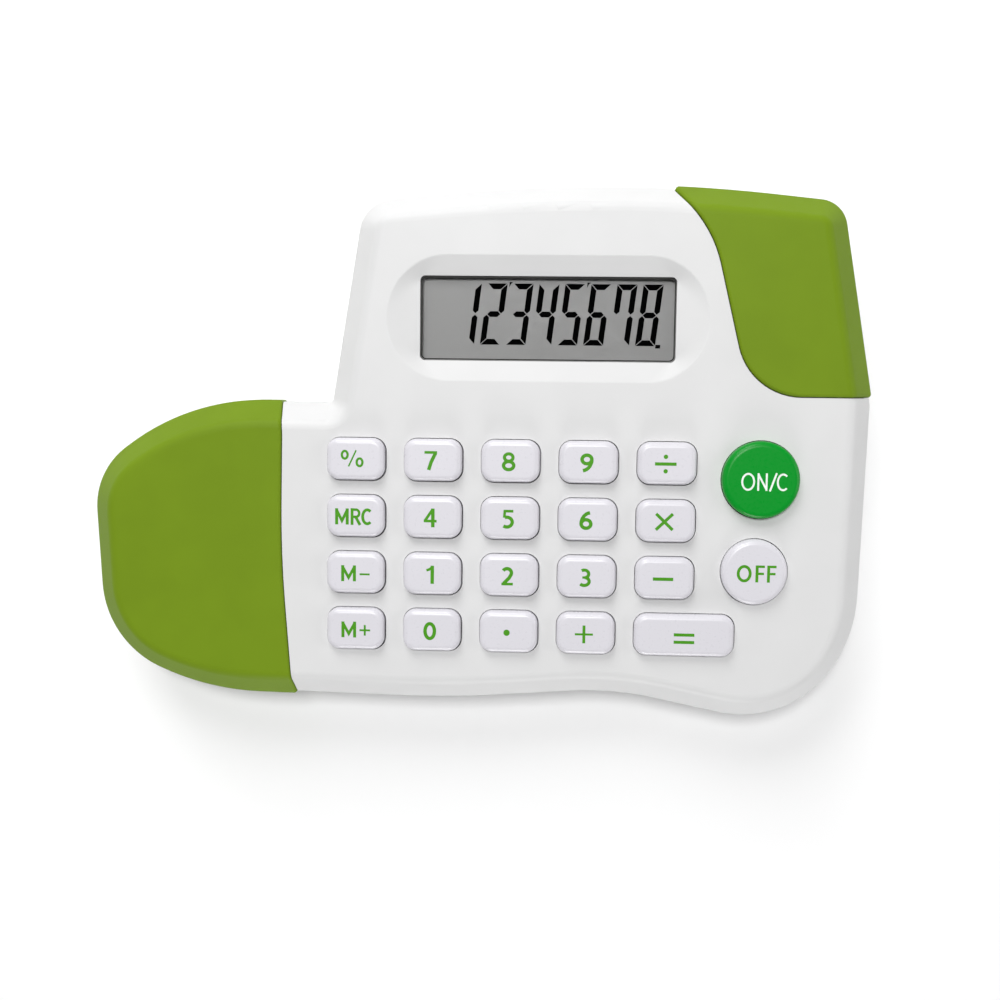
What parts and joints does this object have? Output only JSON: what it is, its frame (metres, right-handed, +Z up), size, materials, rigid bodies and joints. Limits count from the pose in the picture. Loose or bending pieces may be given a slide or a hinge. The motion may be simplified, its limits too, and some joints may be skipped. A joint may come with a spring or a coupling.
{
  "type": "desk calculator",
  "caption": "Flat desk calculator in white plastic with green corner covers, a wide liquid crystal display, hard rectangular keys and round on and off keys.",
  "frame": {"origin": "middle of the footprint on the surface that the rubber feet rest on", "axes": "+X to the right across the keys, +Y away from the user towards the display, +Z up out of the keys"},
  "size_m": [0.1527, 0.1034, 0.0203],
  "materials": {
    "casing_white": "fine satin moulded ABS",
    "cover_green": "fine satin moulded ABS, leaf green",
    "key_white": "smooth hard key plastic, slightly cool white",
    "key_green": "smooth hard key plastic, bright green",
    "lens_clear": "clear polished acrylic",
    "lcd_grey": "grey reflective liquid crystal panel",
    "inner_white": "plain moulded plastic",
    "ribbon_amber": "amber flexible film",
    "rubber_grey": "matt silicone rubber",
    "board_green": "solder mask over fibreglass",
    "chip_black": "moulded epoxy",
    "can_silver": "drawn can",
    "cell_jacket": "plain printed jacket",
    "contact_nickel": "nickel plate",
    "screw_steel": "zinc plated",
    "lead_red": "soft insulation",
    "lead_black": "soft insulation"
  },
  "bodies": {
    "case": {"front_shell": "casing_white", "rear_shell": "casing_white", "left_cover": "cover_green", "corner_cover": "cover_green", "display_window": "lens_clear", "lcd_glass": "lcd_grey", "lcd_reflector": "lcd_grey", "lcd_holder": "inner_white", "lcd_ribbon": "ribbon_amber", "dome_mat": "rubber_grey", "main_board": "board_green", "controller_chip": "chip_black", "capacitors": "can_silver", "resistors": "chip_black", "rubber_feet": "rubber_grey", "battery_cell": "cell_jacket", "battery_contact_plus": "contact_nickel", "battery_contact_minus": "contact_nickel", "battery_spring": "contact_nickel", "housing_screws": "screw_steel", "board_screws": "screw_steel", "battery_lead_red": "lead_red", "battery_lead_black": "lead_black"},
    "door": {"battery_door": "casing_white", "battery_door_screws": "screw_steel"},
    "key_percent_body": {"key_percent": "key_white"},
    "key_7_body": {"key_7": "key_white"},
    "key_8_body": {"key_8": "key_white"},
    "key_9_body": {"key_9": "key_white"},
    "key_divide_body": {"key_divide": "key_white"},
    "key_mrc_body": {"key_mrc": "key_white"},
    "key_4_body": {"key_4": "key_white"},
    "key_5_body": {"key_5": "key_white"},
    "key_6_body": {"key_6": "key_white"},
    "key_multiply_body": {"key_multiply": "key_white"},
    "key_m_minus_body": {"key_m_minus": "key_white"},
    "key_1_body": {"key_1": "key_white"},
    "key_2_body": {"key_2": "key_white"},
    "key_3_body": {"key_3": "key_white"},
    "key_minus_body": {"key_minus": "key_white"},
    "key_m_plus_body": {"key_m_plus": "key_white"},
    "key_0_body": {"key_0": "key_white"},
    "key_point_body": {"key_point": "key_white"},
    "key_plus_body": {"key_plus": "key_white"},
    "key_equals_body": {"key_equals": "key_white"},
    "key_on_clear_body": {"key_on_clear": "key_green"},
    "key_off_body": {"key_off": "key_white"}
  },
  "joints": [
    {"name": "battery_door_lift", "type": "slide", "parent": "case", "child": "door", "axis": [0, 0, -1], "range_m": [0, 0.02]},
    {"name": "key_percent_press", "type": "slide", "parent": "case", "child": "key_percent_body", "axis": [0, 0, -1], "range_m": [0, 0.0012], "stiffness_N_per_m": 600, "springref_m": -0.0005, "deforming": ["dome_mat"]},
    {"name": "key_7_press", "type": "slide", "parent": "case", "child": "key_7_body", "axis": [0, 0, -1], "range_m": [0, 0.0012], "stiffness_N_per_m": 600, "springref_m": -0.0005, "deforming": ["dome_mat"]},
    {"name": "key_8_press", "type": "slide", "parent": "case", "child": "key_8_body", "axis": [0, 0, -1], "range_m": [0, 0.0012], "stiffness_N_per_m": 600, "springref_m": -0.0005, "deforming": ["dome_mat"]},
    {"name": "key_9_press", "type": "slide", "parent": "case", "child": "key_9_body", "axis": [0, 0, -1], "range_m": [0, 0.0012], "stiffness_N_per_m": 600, "springref_m": -0.0005, "deforming": ["dome_mat"]},
    {"name": "key_divide_press", "type": "slide", "parent": "case", "child": "key_divide_body", "axis": [0, 0, -1], "range_m": [0, 0.0012], "stiffness_N_per_m": 600, "springref_m": -0.0005, "deforming": ["dome_mat"]},
    {"name": "key_mrc_press", "type": "slide", "parent": "case", "child": "key_mrc_body", "axis": [0, 0, -1], "range_m": [0, 0.0012], "stiffness_N_per_m": 600, "springref_m": -0.0005, "deforming": ["dome_mat"]},
    {"name": "key_4_press", "type": "slide", "parent": "case", "child": "key_4_body", "axis": [0, 0, -1], "range_m": [0, 0.0012], "stiffness_N_per_m": 600, "springref_m": -0.0005, "deforming": ["dome_mat"]},
    {"name": "key_5_press", "type": "slide", "parent": "case", "child": "key_5_body", "axis": [0, 0, -1], "range_m": [0, 0.0012], "stiffness_N_per_m": 600, "springref_m": -0.0005, "deforming": ["dome_mat"]},
    {"name": "key_6_press", "type": "slide", "parent": "case", "child": "key_6_body", "axis": [0, 0, -1], "range_m": [0, 0.0012], "stiffness_N_per_m": 600, "springref_m": -0.0005, "deforming": ["dome_mat"]},
    {"name": "key_multiply_press", "type": "slide", "parent": "case", "child": "key_multiply_body", "axis": [0, 0, -1], "range_m": [0, 0.0012], "stiffness_N_per_m": 600, "springref_m": -0.0005, "deforming": ["dome_mat"]},
    {"name": "key_m_minus_press", "type": "slide", "parent": "case", "child": "key_m_minus_body", "axis": [0, 0, -1], "range_m": [0, 0.0012], "stiffness_N_per_m": 600, "springref_m": -0.0005, "deforming": ["dome_mat"]},
    {"name": "key_1_press", "type": "slide", "parent": "case", "child": "key_1_body", "axis": [0, 0, -1], "range_m": [0, 0.0012], "stiffness_N_per_m": 600, "springref_m": -0.0005, "deforming": ["dome_mat"]},
    {"name": "key_2_press", "type": "slide", "parent": "case", "child": "key_2_body", "axis": [0, 0, -1], "range_m": [0, 0.0012], "stiffness_N_per_m": 600, "springref_m": -0.0005, "deforming": ["dome_mat"]},
    {"name": "key_3_press", "type": "slide", "parent": "case", "child": "key_3_body", "axis": [0, 0, -1], "range_m": [0, 0.0012], "stiffness_N_per_m": 600, "springref_m": -0.0005, "deforming": ["dome_mat"]},
    {"name": "key_minus_press", "type": "slide", "parent": "case", "child": "key_minus_body", "axis": [0, 0, -1], "range_m": [0, 0.0012], "stiffness_N_per_m": 600, "springref_m": -0.0005, "deforming": ["dome_mat"]},
    {"name": "key_m_plus_press", "type": "slide", "parent": "case", "child": "key_m_plus_body", "axis": [0, 0, -1], "range_m": [0, 0.0012], "stiffness_N_per_m": 600, "springref_m": -0.0005, "deforming": ["dome_mat"]},
    {"name": "key_0_press", "type": "slide", "parent": "case", "child": "key_0_body", "axis": [0, 0, -1], "range_m": [0, 0.0012], "stiffness_N_per_m": 600, "springref_m": -0.0005, "deforming": ["dome_mat"]},
    {"name": "key_point_press", "type": "slide", "parent": "case", "child": "key_point_body", "axis": [0, 0, -1], "range_m": [0, 0.0012], "stiffness_N_per_m": 600, "springref_m": -0.0005, "deforming": ["dome_mat"]},
    {"name": "key_plus_press", "type": "slide", "parent": "case", "child": "key_plus_body", "axis": [0, 0, -1], "range_m": [0, 0.0012], "stiffness_N_per_m": 600, "springref_m": -0.0005, "deforming": ["dome_mat"]},
    {"name": "key_equals_press", "type": "slide", "parent": "case", "child": "key_equals_body", "axis": [0, 0, -1], "range_m": [0, 0.0012], "stiffness_N_per_m": 600, "springref_m": -0.0005, "deforming": ["dome_mat"]},
    {"name": "key_on_clear_press", "type": "slide", "parent": "case", "child": "key_on_clear_body", "axis": [0, 0, -1], "range_m": [0, 0.0012], "stiffness_N_per_m": 600, "springref_m": -0.0005, "deforming": ["dome_mat"]},
    {"name": "key_off_press", "type": "slide", "parent": "case", "child": "key_off_body", "axis": [0, 0, -1], "range_m": [0, 0.0012], "stiffness_N_per_m": 600, "springref_m": -0.0005, "deforming": ["dome_mat"]}
  ]
}
